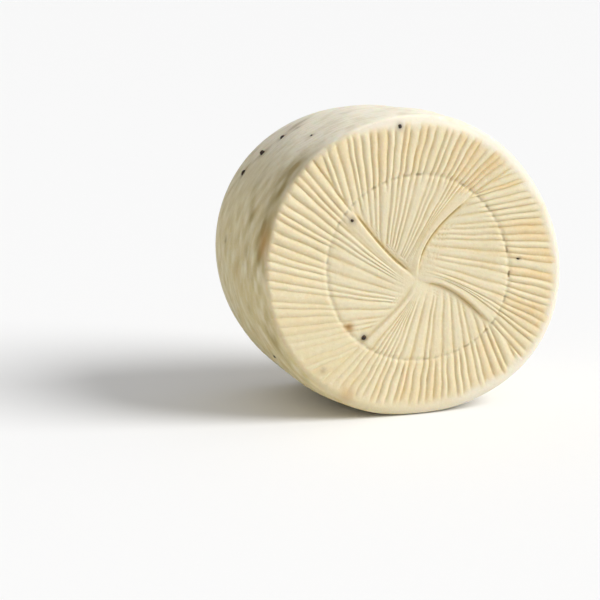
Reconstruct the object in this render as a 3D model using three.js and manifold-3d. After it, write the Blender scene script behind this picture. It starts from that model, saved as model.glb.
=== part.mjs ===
// A primo sale: a fresh white cheese with peppercorns in it, a short drum that stands on its edge.
//
// Both round faces keep the print of the rush basket that the cheese drained in: four fans
// of straight pleats, laid over each other like the blades of a turbine, with one binding
// thread pressed across them. Outside the thread each rush leaves its own ridge, and inside
// it many of them run in pairs. The wall swells like a barrel, and a small flat spot under
// it takes the weight. Bits of peppercorn stand a little proud of the surface.
//
// The frame: the drum's axis lies along Y with the front face towards -Y, Z is up, and the
// origin is on the flat spot, under the middle of the wall.

import * as THREE from 'three';
import { mergeVertices } from 'three/addons/utils/BufferGeometryUtils.js';
import Module from 'manifold-3d';

// Driving dimensions, in millimetres.
const RIM_RADIUS = 95; // mean radius where the wall meets the front face
const THICKNESS = 110; // from the front face to the back face
const BACK_RATIO = 0.98; // the back rim's radius over the front rim's
const BULGE = 4.2; // how far the wall swells half way between the rims
const CORNER_RADIUS = 7; // rounding between each face and the wall
const RIDGE_HEIGHT = 2.1; // from groove to crest, outside the thread
const INNER_HEIGHT = 2; // the same inside it, where rushes run in pairs
const THREAD_DEPTH = 0.8; // how far the binding thread bit into the ridges
const THREAD_WIDTH = 2.2; // from the middle of its groove to the level ridge
const STEP_WIDTH = 1.4; // width of the step where one fan lies over the next
const DISH_DEPTH = 1.2; // how far the middle of a face has sunk
const SAG = 3; // how far the drum's round edge is pressed flat where it stands
const SAG_BLEND = 1.5; // height over which the flat spot runs out into the wall
const SPOT_EDGE = 0.5; // rise of the wall just outside the flat spot
const SPOT_SLOPE = 0.02; // and its slope from there on
const WALL_WAVE = 0.5; // slow unevenness of the wall
const GRAIN_RADIUS = 2.1; // a cracked peppercorn

// The outline is a little out of round: shares of the radius for two, three and four lobes.
const OUT_OF_ROUND = [
  { lobes: 2, cos: 0.029, sin: -0.025 },
  { lobes: 3, cos: 0.001, sin: -0.01 },
  { lobes: 4, cos: -0.004, sin: -0.007 },
];

// The flat spot under the wall has three corners, like a stool's feet, so that the drum
// stands firmly. Seen from above, against the clock, in the part's frame.
const SPOT_CORNERS = [[-17, -28.8], [23, -28.8], [0, 38.4]];

// The eye of the pinwheel, off the middle of the face, as shares of the rim radius.
const EYE = { x: -0.013, z: -0.064 };

// Each fan starts at its own folded edge. Far out, the edge is a straight line that runs
// towards `aim`, in degrees, and passes the eye at `lean` of the rim radius. Inside the
// share `core` of the radius it stops winding. `step` is how high, in millimetres, the edge
// stands over the fan that it covers, and `flap` is how many rushes lie flat beside it.
const FANS = [
  { aim: 23.45, lean: 0.366, core: 0.335, step: 2.2, flap: 3 },
  { aim: 129.66, lean: 0.094, core: 0.3, step: 2.4, flap: 3 },
  { aim: 221.57, lean: 0.077, core: 0.12, step: 1.2, flap: 2 },
  { aim: 307.5, lean: 0.221, core: 0.287, step: 1.8, flap: 2 },
];
const RIDGES_PER_FAN = 26;
const LEAN_GROWTH = 0.36; // how much farther from the eye a fan's last pleat passes
const LEAN_POWER = 1.35;
const LEAN_CUBIC = 0.42; // keeps the pleats straight where they come close to the eye
const PAIRED_SHARE = 0.55; // how often two rushes run as one ridge inside the thread
const RIDGE_JITTER = 0.22; // how far a groove wanders, as a share of the ridge spacing

// The binding thread: a ring that isn't quite round about the eye.
const THREAD = { radius: 0.617, shift: 0.035, towards: 62 };

// Rings of points on a face, from the outside in, as shares of the rim radius. The rings
// that follow the thread take its radius plus `offset`. Each ring has a point in every
// groove and on every crest of its ridges, or in only one of `every` places.
const FACE_RINGS = [
  { share: 0.935, ridges: 'outer', every: 1 },
  { share: 0.88, ridges: 'outer', every: 1 },
  { share: 0.8, ridges: 'outer', every: 1 },
  { share: 0.72, ridges: 'outer', every: 1 },
  { offset: 0.022, ridges: 'outer', every: 1 },
  { offset: 0, ridges: 'inner', every: 1 },
  { offset: -0.022, ridges: 'inner', every: 1 },
  { share: 0.52, ridges: 'inner', every: 1 },
  { share: 0.45, ridges: 'inner', every: 1 },
  { share: 0.38, ridges: 'inner', every: 1 },
  { share: 0.31, ridges: 'inner', every: 1 },
  { share: 0.24, ridges: 'inner', every: 1 },
  { share: 0.17, ridges: 'inner', every: 2 },
  { share: 0.11, ridges: 'inner', every: 4 },
  { share: 0.055, ridges: 'inner', every: 8 },
];
const RIM_COLUMNS = 104;
const CORNER_ANGLES = [30, 55, 80];
const WALL_RINGS = 9;

// Peppercorns on the two faces, as shares of the rim radius seen from outside that face,
// and on the wall, by the angle round the axis and the share of the thickness.
const FRONT_GRAINS = [
  { x: -0.458, z: 0.34, size: 1 },
  { x: -0.14, z: 0.914, size: 0.9 },
  { x: -0.371, z: -0.415, size: 0.9 },
  { x: 0.713, z: 0.034, size: 0.65 },
  { x: -0.651, z: -0.605, size: 0.7 },
];
const BACK_GRAINS = [
  { x: 0.32, z: 0.51, size: 1 },
  { x: -0.52, z: 0.2, size: 0.8 },
  { x: 0.1, z: -0.63, size: 0.9 },
  { x: 0.69, z: -0.28, size: 0.7 },
];
const WALL_GRAINS = [
  { angle: 124, depth: 0.57, size: 1.05 },
  { angle: 129.5, depth: 0.63, size: 1.1 },
  { angle: 138, depth: 0.7, size: 1 },
  { angle: 147.5, depth: 0.77, size: 1.1 },
  { angle: 172.5, depth: 0.65, size: 0.8 },
  { angle: 125.5, depth: 0.298, size: 0.7 },
  { angle: 109.5, depth: 0.41, size: 0.7 },
  { angle: 58, depth: 0.35, size: 0.95 },
  { angle: 21, depth: 0.68, size: 0.9 },
  { angle: 344, depth: 0.41, size: 1 },
  { angle: 214, depth: 0.31, size: 0.9 },
  { angle: 311, depth: 0.71, size: 0.8 },
];

const { clamp, degToRad, lerp, smoothstep } = THREE.MathUtils;
const TURN = 2 * Math.PI;

/** A repeatable random number from -1 to 1 for whole numbers `index` and `seed`. */
function wobble(index, seed) {
  const wave = Math.sin(index * 12.9898 + seed * 78.233) * 43758.5453;
  return 2 * (wave - Math.floor(wave)) - 1;
}

/** Radius of the outline over its mean, at an angle round the axis seen from the front. */
function outline(angle) {
  return OUT_OF_ROUND.reduce(
    (sum, { lobes, cos, sin }) => sum + cos * Math.cos(lobes * angle) + sin * Math.sin(lobes * angle),
    1,
  );
}

/** Mean radius of the wall at a distance behind the front face. */
function wallRadius(depth) {
  const share = depth / THICKNESS;
  return RIM_RADIUS * lerp(1, BACK_RATIO, share) + BULGE * 4 * share * (1 - share);
}

/** Slow unevenness of the wall, faded out towards both rims. */
function wallWave(angle, depth) {
  const fade = Math.sin((Math.PI * depth) / THICKNESS);
  const wave = Math.sin(5 * angle + depth / 17) + Math.sin(8 * angle - depth / 23 + 1.3)
    + 0.6 * Math.sin(13 * angle + depth / 9 + 4);
  return WALL_WAVE * fade * wave;
}

// ---- the pinwheel -------------------------------------------------------------------

/** Reach from the eye, kept away from zero so that nothing winds without end. */
const reach = (fan, rho) => Math.hypot(rho, FANS[fan % FANS.length].core);

/** Angle of a fan's own edge at a share `rho` of the radius. */
function edgeAngle(fan, rho) {
  const { aim, lean } = FANS[fan % FANS.length];
  const turns = fan >= FANS.length ? TURN : 0;
  return degToRad(aim) + turns + lean / reach(fan, rho);
}

/** How far pleat `u` has turned at `rho`; u runs from 0 at the fan's own edge to 1. */
function pleatTurn(fan, u, rho) {
  const lean = FANS[fan].lean + LEAN_GROWTH * u ** LEAN_POWER;
  const slope = lean / reach(fan, rho);
  return slope + LEAN_CUBIC * u * slope ** 3;
}

/** Angle of pleat `u` of a fan at a share `rho` of the radius. */
function pleatAngle(fan, u, rho) {
  const span = edgeAngle(fan + 1, 1) - edgeAngle(fan, 1);
  return edgeAngle(fan, 1) + u * span + pleatTurn(fan, u, rho) - pleatTurn(fan, u, 1);
}

/** The pleat that passes through an angle at `rho`, found by halving the interval. */
function pleatAt(fan, angle, rho) {
  let low = 0;
  let high = 1;
  for (let round = 0; round < 30; round += 1) {
    const middle = (low + high) / 2;
    if (pleatAngle(fan, middle, rho) < angle) {
      low = middle;
    } else {
      high = middle;
    }
  }
  return (low + high) / 2;
}

/** The angle at `rho` where the step up to the next fan begins. */
function lastAngle(fan, rho) {
  const span = edgeAngle(fan + 1, rho) - edgeAngle(fan, rho);
  const step = Math.min(STEP_WIDTH / (rho * RIM_RADIUS), 0.25 * span);
  return edgeAngle(fan + 1, rho) - step;
}

/** Groove positions across a fan outside the thread: evenly spaced, each moved a little. */
function outerGrooves(fan, seed) {
  return Array.from({ length: RIDGES_PER_FAN + 1 }, (_, index) => {
    const inside = index > 0 && index < RIDGES_PER_FAN;
    const shift = inside ? RIDGE_JITTER * wobble(index + 40 * fan, seed) : 0;
    return (index + shift) / RIDGES_PER_FAN;
  });
}

/** The grooves that go on inside the thread: a flat flap first, then some ridges in pairs. */
function innerGrooves(fan, seed, grooves) {
  const kept = [grooves[0]];
  let index = FANS[fan].flap;
  while (index < RIDGES_PER_FAN) {
    kept.push(grooves[index]);
    index += wobble(index + 80 * fan, seed + 10) < 2 * PAIRED_SHARE - 1 ? 2 : 1;
  }
  return [...kept, grooves[RIDGES_PER_FAN]];
}

/** A ridge's rounded section: 0 in the grooves at t = 0 and 1, and 1 on the crest. */
const ridgeSection = (t) => Math.sin(Math.PI * clamp(t, 0, 1)) ** 0.7;

/** Ridge height above the mean for pleat `u`; a folded edge is half a ridge, crest first. */
function ridge(grooves, u, foldedEdge, seed) {
  let index = 0;
  while (index + 2 < grooves.length && u >= grooves[index + 1]) {
    index += 1;
  }
  let t = (u - grooves[index]) / (grooves[index + 1] - grooves[index]);
  if (index === 0) {
    t = lerp(t, (1 + t) / 2, foldedEdge);
  }
  const height = 1 + 0.25 * wobble(index, seed);
  return height * (ridgeSection(t) - 0.6);
}

/** Share of the radius where the thread runs at an angle. */
function threadAt(angle) {
  return THREAD.radius + THREAD.shift * Math.cos(angle - degToRad(THREAD.towards));
}

/** Where the ridges run out into the smooth rim; lower down on one side they stop early. */
function ridgeEnd(angle) {
  const low = Math.cos(angle - degToRad(247));
  return 0.965 - 0.06 * Math.exp((low - 1) * 7);
}

/** How much of the print is left: one patch came out smooth and blurred. */
function printStrength(angle, rho) {
  const near = Math.cos(angle - degToRad(213));
  return 1 - 0.65 * Math.exp((near - 1) * 9) * smoothstep(rho, 0.5, 0.65);
}

/** Height of a face's relief, in millimetres, for pleat `u` of a fan at `rho` and `angle`. */
function relief(face, fan, u, rho, angle) {
  const inside = 1 - smoothstep(rho, 0.56, 0.68);
  const folded = 1 - smoothstep(rho, 0.5, 0.7);
  const span = edgeAngle(fan + 1, rho) - edgeAngle(fan, rho);
  const across = clamp((angle - edgeAngle(fan, rho)) / span, 0, 1);
  const step = FANS[fan].step * (1 - smoothstep(rho, 0.42, 0.7)) * smoothstep(rho, 0, 0.2);
  const nextStep = FANS[(fan + 1) % FANS.length].step / FANS[fan].step;
  const tilt = step * lerp(0.55, -0.45 * nextStep, across ** 1.5);
  const end = ridgeEnd(angle);
  const run = (1 - smoothstep(rho, end - 0.05, end)) * smoothstep(rho, 0.03, 0.28);
  const outer = RIDGE_HEIGHT * ridge(face.outer[fan], u, 0, face.seed + 20 + fan);
  const inner = INNER_HEIGHT * ridge(face.inner[fan], u, folded, face.seed + 30 + fan);
  const print = lerp(outer, inner, inside) * run * printStrength(angle, rho);
  const fromThread = ((rho - threadAt(angle)) * RIM_RADIUS) / THREAD_WIDTH;
  const thread = THREAD_DEPTH * Math.exp(-2 * fromThread ** 2);
  const dish = DISH_DEPTH * (1 - smoothstep(rho, 0.1, 0.9));
  return face.strength * (tilt + print - thread) - dish;
}

// ---- the skin of the drum -----------------------------------------------------------

const positions = [];
const triangles = [];

/** Stores a point of the drum and gives its number: x right, y back, z up from the axis. */
function point(x, y, z) {
  positions.push(x, y, z);
  return positions.length / 3 - 1;
}

/** Joins two rows of points, each sorted by `at`, with a strip of triangles. */
function zip(near, far) {
  let i = 0;
  let j = 0;
  while (i < near.length - 1 || j < far.length - 1) {
    const farDone = j === far.length - 1;
    const nearDone = i === near.length - 1;
    if (!nearDone && (farDone || near[i + 1].at <= far[j + 1].at)) {
      triangles.push(near[i].id, far[j].id, near[i + 1].id);
      i += 1;
    } else {
      triangles.push(near[i].id, far[j].id, far[j + 1].id);
      j += 1;
    }
  }
}

/** A ring of points sorted by angle and closed by its own first point. */
function closedRing(ring) {
  const sorted = ring
    .map(({ at, id }) => ({ at: ((at % TURN) + TURN) % TURN, id }))
    .sort((a, b) => a.at - b.at);
  return [...sorted, { at: sorted[0].at + TURN, id: sorted[0].id }];
}

/** Depth of a face below its flat middle: zero until the corner's rounding starts. */
function cornerDepth(rho, rimRadius) {
  const into = Math.max(0, rho * RIM_RADIUS - (rimRadius - CORNER_RADIUS)) / CORNER_RADIUS;
  return CORNER_RADIUS * (1 - Math.sqrt(1 - into ** 2));
}

/** A point on a face from its angle, its share of the radius and its relief. */
function facePoint(face, angle, rho, height) {
  const radius = rho * RIM_RADIUS * face.outline(angle);
  const x = EYE.x * RIM_RADIUS * (1 - rho) + radius * Math.cos(angle);
  const z = EYE.z * RIM_RADIUS * (1 - rho) + radius * Math.sin(angle);
  const y = cornerDepth(rho, face.rimRadius) - height;
  return face.place(x, y, z);
}

/** One fan's part of one ring: its own edge, its pleats, and the foot of the next step. */
function fanRow(face, fan, { share, offset, ridges, every }) {
  const row = [];
  const rhoAt = (angle) => share ?? threadAt(angle) + offset;
  const meanRho = share ?? THREAD.radius + offset;
  const add = (u, angle) => {
    const rho = rhoAt(angle);
    row.push({ at: u, angle, id: facePoint(face, angle, rho, relief(face, fan, u, rho, angle)) });
  };
  const last = lastAngle(fan, meanRho);
  const lastPleat = pleatAt(fan, last, meanRho);
  const grooves = face[ridges][fan];
  for (let place = 0; place < 2 * (grooves.length - 1); place += every) {
    const groove = Math.floor(place / 2);
    const u = place % 2 ? (grooves[groove] + grooves[groove + 1]) / 2 : grooves[groove];
    if (u > lastPleat - 0.2 / RIDGES_PER_FAN) {
      break;
    }
    add(u, pleatAngle(fan, u, meanRho));
  }
  add(lastPleat, last);
  return row;
}

/** Lays one face, from its eye outwards, and returns its outermost ring. */
function layFace(face) {
  const eye = facePoint(face, 0, 0, relief(face, 0, 0, 0, edgeAngle(0, 0)));
  let inner = FANS.map(() => [{ at: 0, id: eye }]);
  let ring = [];
  for (const level of [...FACE_RINGS].reverse()) {
    const outer = FANS.map((_, fan) => fanRow(face, fan, level));
    outer.forEach((row, fan) => {
      const next = (fan + 1) % FANS.length;
      zip(inner[fan], row);
      const stepFoot = inner[fan].at(-1).id;
      const stepTop = inner[next][0].id;
      const nearStep = stepFoot === stepTop ? [{ at: 0, id: eye }]
        : [{ at: 0, id: stepFoot }, { at: 1, id: stepTop }];
      zip(nearStep, [{ at: 0, id: row.at(-1).id }, { at: 1, id: outer[next][0].id }]);
    });
    inner = outer;
    ring = outer.flat().map(({ angle, id }) => ({ at: angle, id }));
  }
  return ring;
}

/** A ring of the wall or of a rounded corner, at even angles. */
function wallRing(radius, depth) {
  return Array.from({ length: RIM_COLUMNS }, (_, column) => {
    const angle = (column / RIM_COLUMNS) * TURN;
    const reachOut = radius * outline(angle) + wallWave(angle, depth);
    return { at: angle, id: point(reachOut * Math.cos(angle), depth, reachOut * Math.sin(angle)) };
  });
}

/** Rings round a corner: each entry is a radius and the depth behind that corner's face. */
function cornerRings(rimRadius) {
  return CORNER_ANGLES.map((degrees) => {
    const angle = degToRad(degrees);
    const radius = rimRadius - CORNER_RADIUS * (1 - Math.sin(angle));
    return { radius, depth: CORNER_RADIUS * (1 - Math.cos(angle)) };
  });
}

/** Presses everything near the floor flat, with a soft run-out. */
function press(height) {
  if (height >= SAG_BLEND) {
    return height;
  }
  return height <= -SAG_BLEND ? 0 : (height + SAG_BLEND) ** 2 / (4 * SAG_BLEND);
}

/** Height of the axis over the floor: the lowest point of the round wall, less the sag. */
function axisHeight() {
  const steps = 720;
  const middle = wallRadius(THICKNESS / 2);
  const drops = Array.from({ length: steps }, (_, step) => {
    const angle = (step / steps) * TURN;
    return -middle * outline(angle) * Math.sin(angle);
  });
  return Math.max(...drops) - SAG;
}

/** The whole skin, from the front face's eye over the wall to the back face's eye. */
function layDrum(faces) {
  const [front, back] = faces;
  const frontRing = layFace(front);
  const backRing = layFace(back).map(({ at, id }) => ({ at: Math.PI - at, id }));
  const rings = [closedRing(frontRing)];
  for (const { radius, depth } of cornerRings(front.rimRadius)) {
    rings.push(closedRing(wallRing(radius, depth)));
  }
  for (let step = 1; step <= WALL_RINGS; step += 1) {
    const depth = lerp(CORNER_RADIUS, THICKNESS - CORNER_RADIUS, step / (WALL_RINGS + 1));
    rings.push(closedRing(wallRing(wallRadius(depth), depth)));
  }
  for (const { radius, depth } of cornerRings(back.rimRadius).reverse()) {
    rings.push(closedRing(wallRing(radius, THICKNESS - depth)));
  }
  rings.push(closedRing(backRing));
  for (let index = 1; index < rings.length; index += 1) {
    zip(rings[index - 1], rings[index]);
  }
}

const axisZ = axisHeight();

/** From the drum's own place, measured from its front face and axis, into the part's frame. */
const stand = (x, y, z) => [x, y - THICKNESS / 2, press(z + axisZ)];

/** How far a point lies outside a triangle seen from above; negative inside it. */
function outside(corners, [x, y]) {
  return Math.max(...corners.map(([x1, y1], index) => {
    const [x2, y2] = corners[(index + 1) % corners.length];
    return ((x - x1) * (y2 - y1) - (y - y1) * (x2 - x1)) / Math.hypot(x2 - x1, y2 - y1);
  }));
}

/** Levels the flat spot between the three points next to its corners, and lifts the rest. */
function levelSpot(points) {
  const near = ([x, y]) => (a, b) => Math.hypot(a[0] - x, a[1] - y) - Math.hypot(b[0] - x, b[1] - y);
  const low = points.filter(([, , z]) => z < 2 * SAG_BLEND);
  const corners = SPOT_CORNERS.map((corner) => [...low].sort(near(corner))[0]);
  return points.map(([x, y, z]) => {
    if (z >= 2 * SAG_BLEND) {
      return [x, y, z];
    }
    const away = outside(corners, [x, y]);
    return [x, y, away < 1e-6 ? 0 : Math.max(z, SPOT_EDGE + SPOT_SLOPE * away)];
  });
}

// ---- solids ------------------------------------------------------------------------

const wasm = await Module();
wasm.setup();

/** A closed, indexed geometry as a solid. */
function solidFrom(vertices, indices) {
  return new wasm.Manifold(new wasm.Mesh({
    numProp: 3,
    vertProperties: new Float32Array(vertices),
    triVerts: new Uint32Array(indices),
  }));
}

/** A cracked peppercorn: a rough lump of flat faces, turned and stretched at random. */
function grain(centre, size, index) {
  const lump = new THREE.IcosahedronGeometry(GRAIN_RADIUS * size, 0);
  lump.deleteAttribute('normal');
  lump.deleteAttribute('uv');
  const shape = mergeVertices(lump, 1e-3);
  shape.scale(1 + 0.2 * wobble(index, 3), 0.85, 0.8 + 0.15 * wobble(index, 4));
  shape.rotateX(Math.PI * wobble(index, 5));
  shape.rotateY(Math.PI * wobble(index, 6));
  shape.rotateZ(Math.PI * wobble(index, 7));
  shape.translate(...centre);
  return solidFrom(shape.getAttribute('position').array, shape.getIndex().array);
}

/** Middle of each peppercorn, sunk into the surface that it shows in. */
function grainPlaces() {
  const sunk = 0.35 * GRAIN_RADIUS;
  const onFace = (side) => ({ x, z, size }) => {
    const y = side > 0 ? sunk : THICKNESS - sunk;
    return { size, centre: stand(side * x * RIM_RADIUS, y, z * RIM_RADIUS) };
  };
  const onWall = ({ angle, depth, size }) => {
    const y = depth * THICKNESS;
    const radians = degToRad(angle);
    const radius = wallRadius(y) * outline(radians) - sunk;
    return { size, centre: stand(radius * Math.cos(radians), y, radius * Math.sin(radians)) };
  };
  return [...FRONT_GRAINS.map(onFace(1)), ...BACK_GRAINS.map(onFace(-1)), ...WALL_GRAINS.map(onWall)];
}

/** The cheese: the drum with its peppercorns fused on. */
function makeCheese() {
  const faces = [
    { seed: 1, strength: 1, rimRadius: wallRadius(CORNER_RADIUS), outline, place: point },
    {
      seed: 2,
      strength: 0.9,
      rimRadius: wallRadius(THICKNESS - CORNER_RADIUS),
      outline: (angle) => outline(Math.PI - angle),
      place: (x, y, z) => point(-x, THICKNESS - y, z),
    },
  ];
  for (const face of faces) {
    face.outer = FANS.map((_, fan) => outerGrooves(fan, face.seed));
    face.inner = FANS.map((_, fan) => innerGrooves(fan, face.seed, face.outer[fan]));
  }
  layDrum(faces);
  const standing = [];
  for (let index = 0; index < positions.length; index += 3) {
    standing.push(stand(...positions.slice(index, index + 3)));
  }
  let solid = solidFrom(levelSpot(standing).flat(), triangles);
  grainPlaces().forEach(({ centre, size }, index) => {
    solid = solid.add(grain(centre, size, index));
  });
  const mesh = solid.getMesh();
  const geometry = new THREE.BufferGeometry();
  geometry.setAttribute('position', new THREE.BufferAttribute(mesh.vertProperties, mesh.numProp));
  geometry.setIndex(new THREE.BufferAttribute(mesh.triVerts, 1));
  geometry.computeVertexNormals();
  return geometry;
}

const cheese = new THREE.Mesh(
  makeCheese(),
  new THREE.MeshStandardMaterial({ color: 0xefe3be, roughness: 0.55, metalness: 0 }),
);
cheese.name = 'cheese_wheel';

const group = new THREE.Group();
group.add(cheese);

export default group;
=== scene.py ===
# %% [markdown]
# # A primo sale with peppercorns, worked out with numpy
#
# A primo sale is a fresh sheep's or cow's milk cheese, only a few days old. The curd drains in a
# basket of woven rushes, and is turned over once, so both of its round faces keep the print of
# the basket's bottom. This one is a short drum that stands on its edge, with cracked peppercorns
# in it.
#
# Such a skin could be sculpted by hand, or a smooth drum could be pushed in and out by a
# displacement texture. Sculpting can't be repeated, and displacement needs millions of even
# faces before a groove comes out sharp. Here a formula works out every point, and the rows of
# points follow the pleats, so about 200,000 triangles are enough.
#
# The frame comes first: the solid model that the skin has to follow.

# %% Load the frame
import math

import bpy
import numpy as np
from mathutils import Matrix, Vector


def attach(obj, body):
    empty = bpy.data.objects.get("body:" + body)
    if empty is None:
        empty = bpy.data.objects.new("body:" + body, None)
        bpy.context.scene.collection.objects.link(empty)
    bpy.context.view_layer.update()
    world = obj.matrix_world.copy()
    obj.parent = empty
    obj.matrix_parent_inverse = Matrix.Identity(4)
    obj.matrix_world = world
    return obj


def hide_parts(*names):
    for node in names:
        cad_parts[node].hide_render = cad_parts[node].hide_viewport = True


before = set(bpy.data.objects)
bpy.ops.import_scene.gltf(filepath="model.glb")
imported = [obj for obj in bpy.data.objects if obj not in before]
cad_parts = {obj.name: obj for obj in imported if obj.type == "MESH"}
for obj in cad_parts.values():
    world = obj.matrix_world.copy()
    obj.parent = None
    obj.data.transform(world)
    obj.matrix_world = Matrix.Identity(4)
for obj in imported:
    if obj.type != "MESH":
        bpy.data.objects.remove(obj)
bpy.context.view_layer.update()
NODE = "cheese_wheel"

# %% [markdown]
# ## The sizes
#
# The drum's main sizes are the solid model's own, in metres, because the skin takes its place.
# The rest is worked out from them, and each step names the few sizes that it adds. Angles run
# round the drum's axis from the right, anticlockwise as seen from the front, and depth runs from
# the front face to the back face. The eye is where the folds of the print meet, in rim radii
# from the axis.

# %% Driving dimensions
MM = 0.001
TURN = 2 * math.pi
RIM_RADIUS = 95 * MM
THICKNESS = 110 * MM
BACK_RATIO = 0.98
BULGE = 4.2 * MM
EYE = (-0.013, -0.064)
print("rim", round(2 * RIM_RADIUS / MM), "mm across, drum", round(THICKNESS / MM), "mm thick")


# %% [markdown]
# ## Small helpers
#
# The first two functions are ones that shader artists know well, here for whole arrays. `wobble`
# is a repeatable random number: the same index and seed always give the same value. numpy can
# draw random numbers too, but those depend on the order of drawing, so one new draw would change
# every ridge after it. What is added to a seed further on only keeps the draws apart. `ripple`
# is the same idea for smooth unevenness.

# %% Helpers
def smoothstep(x, low, high):
    """0 below low, 1 above high, and a smooth S between them: t squared times (3 - 2t)."""
    t = np.clip((x - low) / (high - low), 0, 1)
    return t * t * (3 - 2 * t)


def lerp(a, b, t):
    """The value a share t of the way from a to b."""
    return a + (b - a) * t


def wobble(index, seed):
    """A repeatable random number from -1 to 1: the fraction of a large, fast sine."""
    wave = np.sin(np.asarray(index) * 12.9898 + seed * 78.233) * 43758.5453
    return 2 * (wave - np.floor(wave)) - 1


def ripple(x, y, seed, waves=5):
    """Smooth unevenness from -1 to 1: a mean of sines in seeded directions, about a unit long."""
    total = 0
    for wave in range(waves):
        turn = math.pi * wobble(wave, seed)
        stretch = 1 + 0.45 * wobble(wave + 20, seed)
        phase = math.pi * wobble(wave + 40, seed)
        total = total + np.sin(TURN * stretch * (x * math.cos(turn) + y * math.sin(turn)) + phase)
    return total / waves


print("three wobbles, the same in each run:", np.round(wobble(np.arange(3), 1), 3))

# %% [markdown]
# ## The drum
#
# A drained cheese is never quite round. Its outline is a circle plus two, three and four soft
# lobes, and its wall swells like a barrel, because the weight of the curd pushes the basket out.
# A lathe would turn a true circle, and a sculpted one is uneven by chance. A formula for the
# radius at each angle and depth says how uneven it is in a line or two.
#
# `OUT_OF_ROUND` has a row for each number of lobes: the shares of its cosine and sine.
# `WALL_WAVES` has a row for each slow wave of the wall: how many go round, how many millimetres
# of depth turn it by a radian, its phase, and its share.

# %% The drum's outline and wall
OUT_OF_ROUND = [(2, 0.029, -0.025), (3, 0.001, -0.01), (4, -0.004, -0.007)]
WALL_WAVE = 0.5 * MM
WALL_WAVES = [(5, 17, 0, 1), (8, -23, 1.3, 1), (13, 9, 4, 0.6)]


def outline(angle):
    """Radius over its mean: one plus a cosine and a sine for each number of lobes."""
    total = 1.0
    for lobes, cosine, sine in OUT_OF_ROUND:
        total = total + cosine * np.cos(lobes * angle) + sine * np.sin(lobes * angle)
    return total


def wall_radius(depth):
    """Mean radius at a depth behind the front face: a straight taper plus a parabola's swell."""
    share = depth / THICKNESS
    return RIM_RADIUS * lerp(1, BACK_RATIO, share) + BULGE * 4 * share * (1 - share)


def wall_wave(angle, depth):
    """Slow unevenness of the wall: slanted sines, faded out towards both rims."""
    wave = 0
    for lobes, slide, phase, share in WALL_WAVES:
        wave = wave + share * np.sin(lobes * angle + depth / MM / slide + phase)
    return WALL_WAVE * np.sin(math.pi * depth / THICKNESS) * wave


half_degrees = np.arange(720) / 720 * TURN
print("the outline runs from", round(outline(half_degrees).min(), 3), "to",
      round(outline(half_degrees).max(), 3), "of its mean radius")

# %% [markdown]
# ## The rim and the flat spot
#
# The rim is crisp where it was pressed hard against the basket and broad and soft elsewhere, and
# where the drum stands, its own weight has pressed it flat. A bevel would round all of the rim
# alike, and a boolean cut would leave a hard edge round the spot. Here both run out softly.
#
# `RIM_PLAN` has a row for each stretch of the rim: its angle in degrees, its rounding in
# millimetres, and how far the ridges reach there, in rim radii walked outwards over the face and
# the rounding.

# %% The rim and the flat spot
SAG = 3 * MM
SAG_BLEND = 1.5 * MM
RIM_PLAN = np.array([(0, 5, 0.95), (35, 6.5, 0.94), (70, 8, 0.945), (100, 6.5, 0.96),
                     (125, 4, 1), (145, 3, 1.015), (190, 3, 1.015), (210, 4, 0.985), (235, 7, 0.945),
                     (265, 8, 0.915), (300, 7.5, 0.925), (330, 5.5, 0.945)])
ROUNDING, REACH = 1, 2


def rim_plan(angle, column):
    """A column of the rim's plan at any angle: an S-shaped blend from each row to the next."""
    rows = np.append(RIM_PLAN[:, 0], 360)
    values = np.append(RIM_PLAN[:, column], RIM_PLAN[0, column])
    place = np.interp(np.degrees(angle) % 360, rows, np.arange(len(rows)))
    low = np.minimum(place.astype(int), len(rows) - 2)
    return lerp(values[low], values[low + 1], smoothstep(place - low, 0, 1))


def press(height):
    """Everything near the floor pressed flat, with a parabola as the soft run-out."""
    soft = (height + SAG_BLEND) ** 2 / (4 * SAG_BLEND)
    return np.where(height >= SAG_BLEND, height, np.where(height <= -SAG_BLEND, 0, soft))


below_axis = -wall_radius(THICKNESS / 2) * outline(half_degrees) * np.sin(half_degrees)
AXIS_HEIGHT = float(np.max(below_axis)) - SAG
print("axis height over the floor:", round(AXIS_HEIGHT / MM, 2), "mm")

# %% [markdown]
# ## The pinwheel
#
# The basket's bottom is four bundles of rushes, each folded over the next, like the flaps of a
# cardboard box. So the print has four fans of pleats, and each fan starts at its own folded
# edge and ends under the next one's. Seen from the eye where the four edges meet, a line that
# passes the eye at a distance d stands at an angle that grows like d / r towards the eye. That
# is the fold, which bends a little.
#
# A fold could be a curve with handles, but then the pleats beside it would need curves of their
# own. Three numbers for each fan do instead: the direction in which the fold runs out, how far
# it leans, and the size of the core in which it is eased. Distances from the eye are in rim
# radii.

# %% The four folds
FANS = 4
# One value for each fan. A fifth is the first fan once more, a turn later.
FAN_AIM = np.radians([23.45, 129.66, 221.57, 307.5, 23.45 + 360])
FAN_LEAN = np.array([0.366, 0.094, 0.077, 0.221, 0.366])
FAN_CORE = np.array([0.335, 0.3, 0.12, 0.287, 0.335])
STEP_WIDTH = 1.4 * MM
STEP_MOST = 0.25


def edge_angle(fan, rho):
    """Angle of a fan's folded edge: its aim plus its lean over the distance, eased by a core."""
    return FAN_AIM[fan] + FAN_LEAN[fan] / np.hypot(rho, FAN_CORE[fan])


def fan_span(fan):
    """Angle between a fan's own edge and the next fan's, at the rim."""
    return edge_angle(fan + 1, 1) - edge_angle(fan, 1)


def last_angle(fan, rho):
    """Where the step up to the next fan begins: a step's width, or at most a share of the fan,
    before that fan's edge."""
    following = edge_angle(fan + 1, rho)
    span = following - edge_angle(fan, rho)
    width = STEP_WIDTH / np.maximum(rho * RIM_RADIUS, 1e-6)
    return following - np.minimum(width, STEP_MOST * span)


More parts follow.
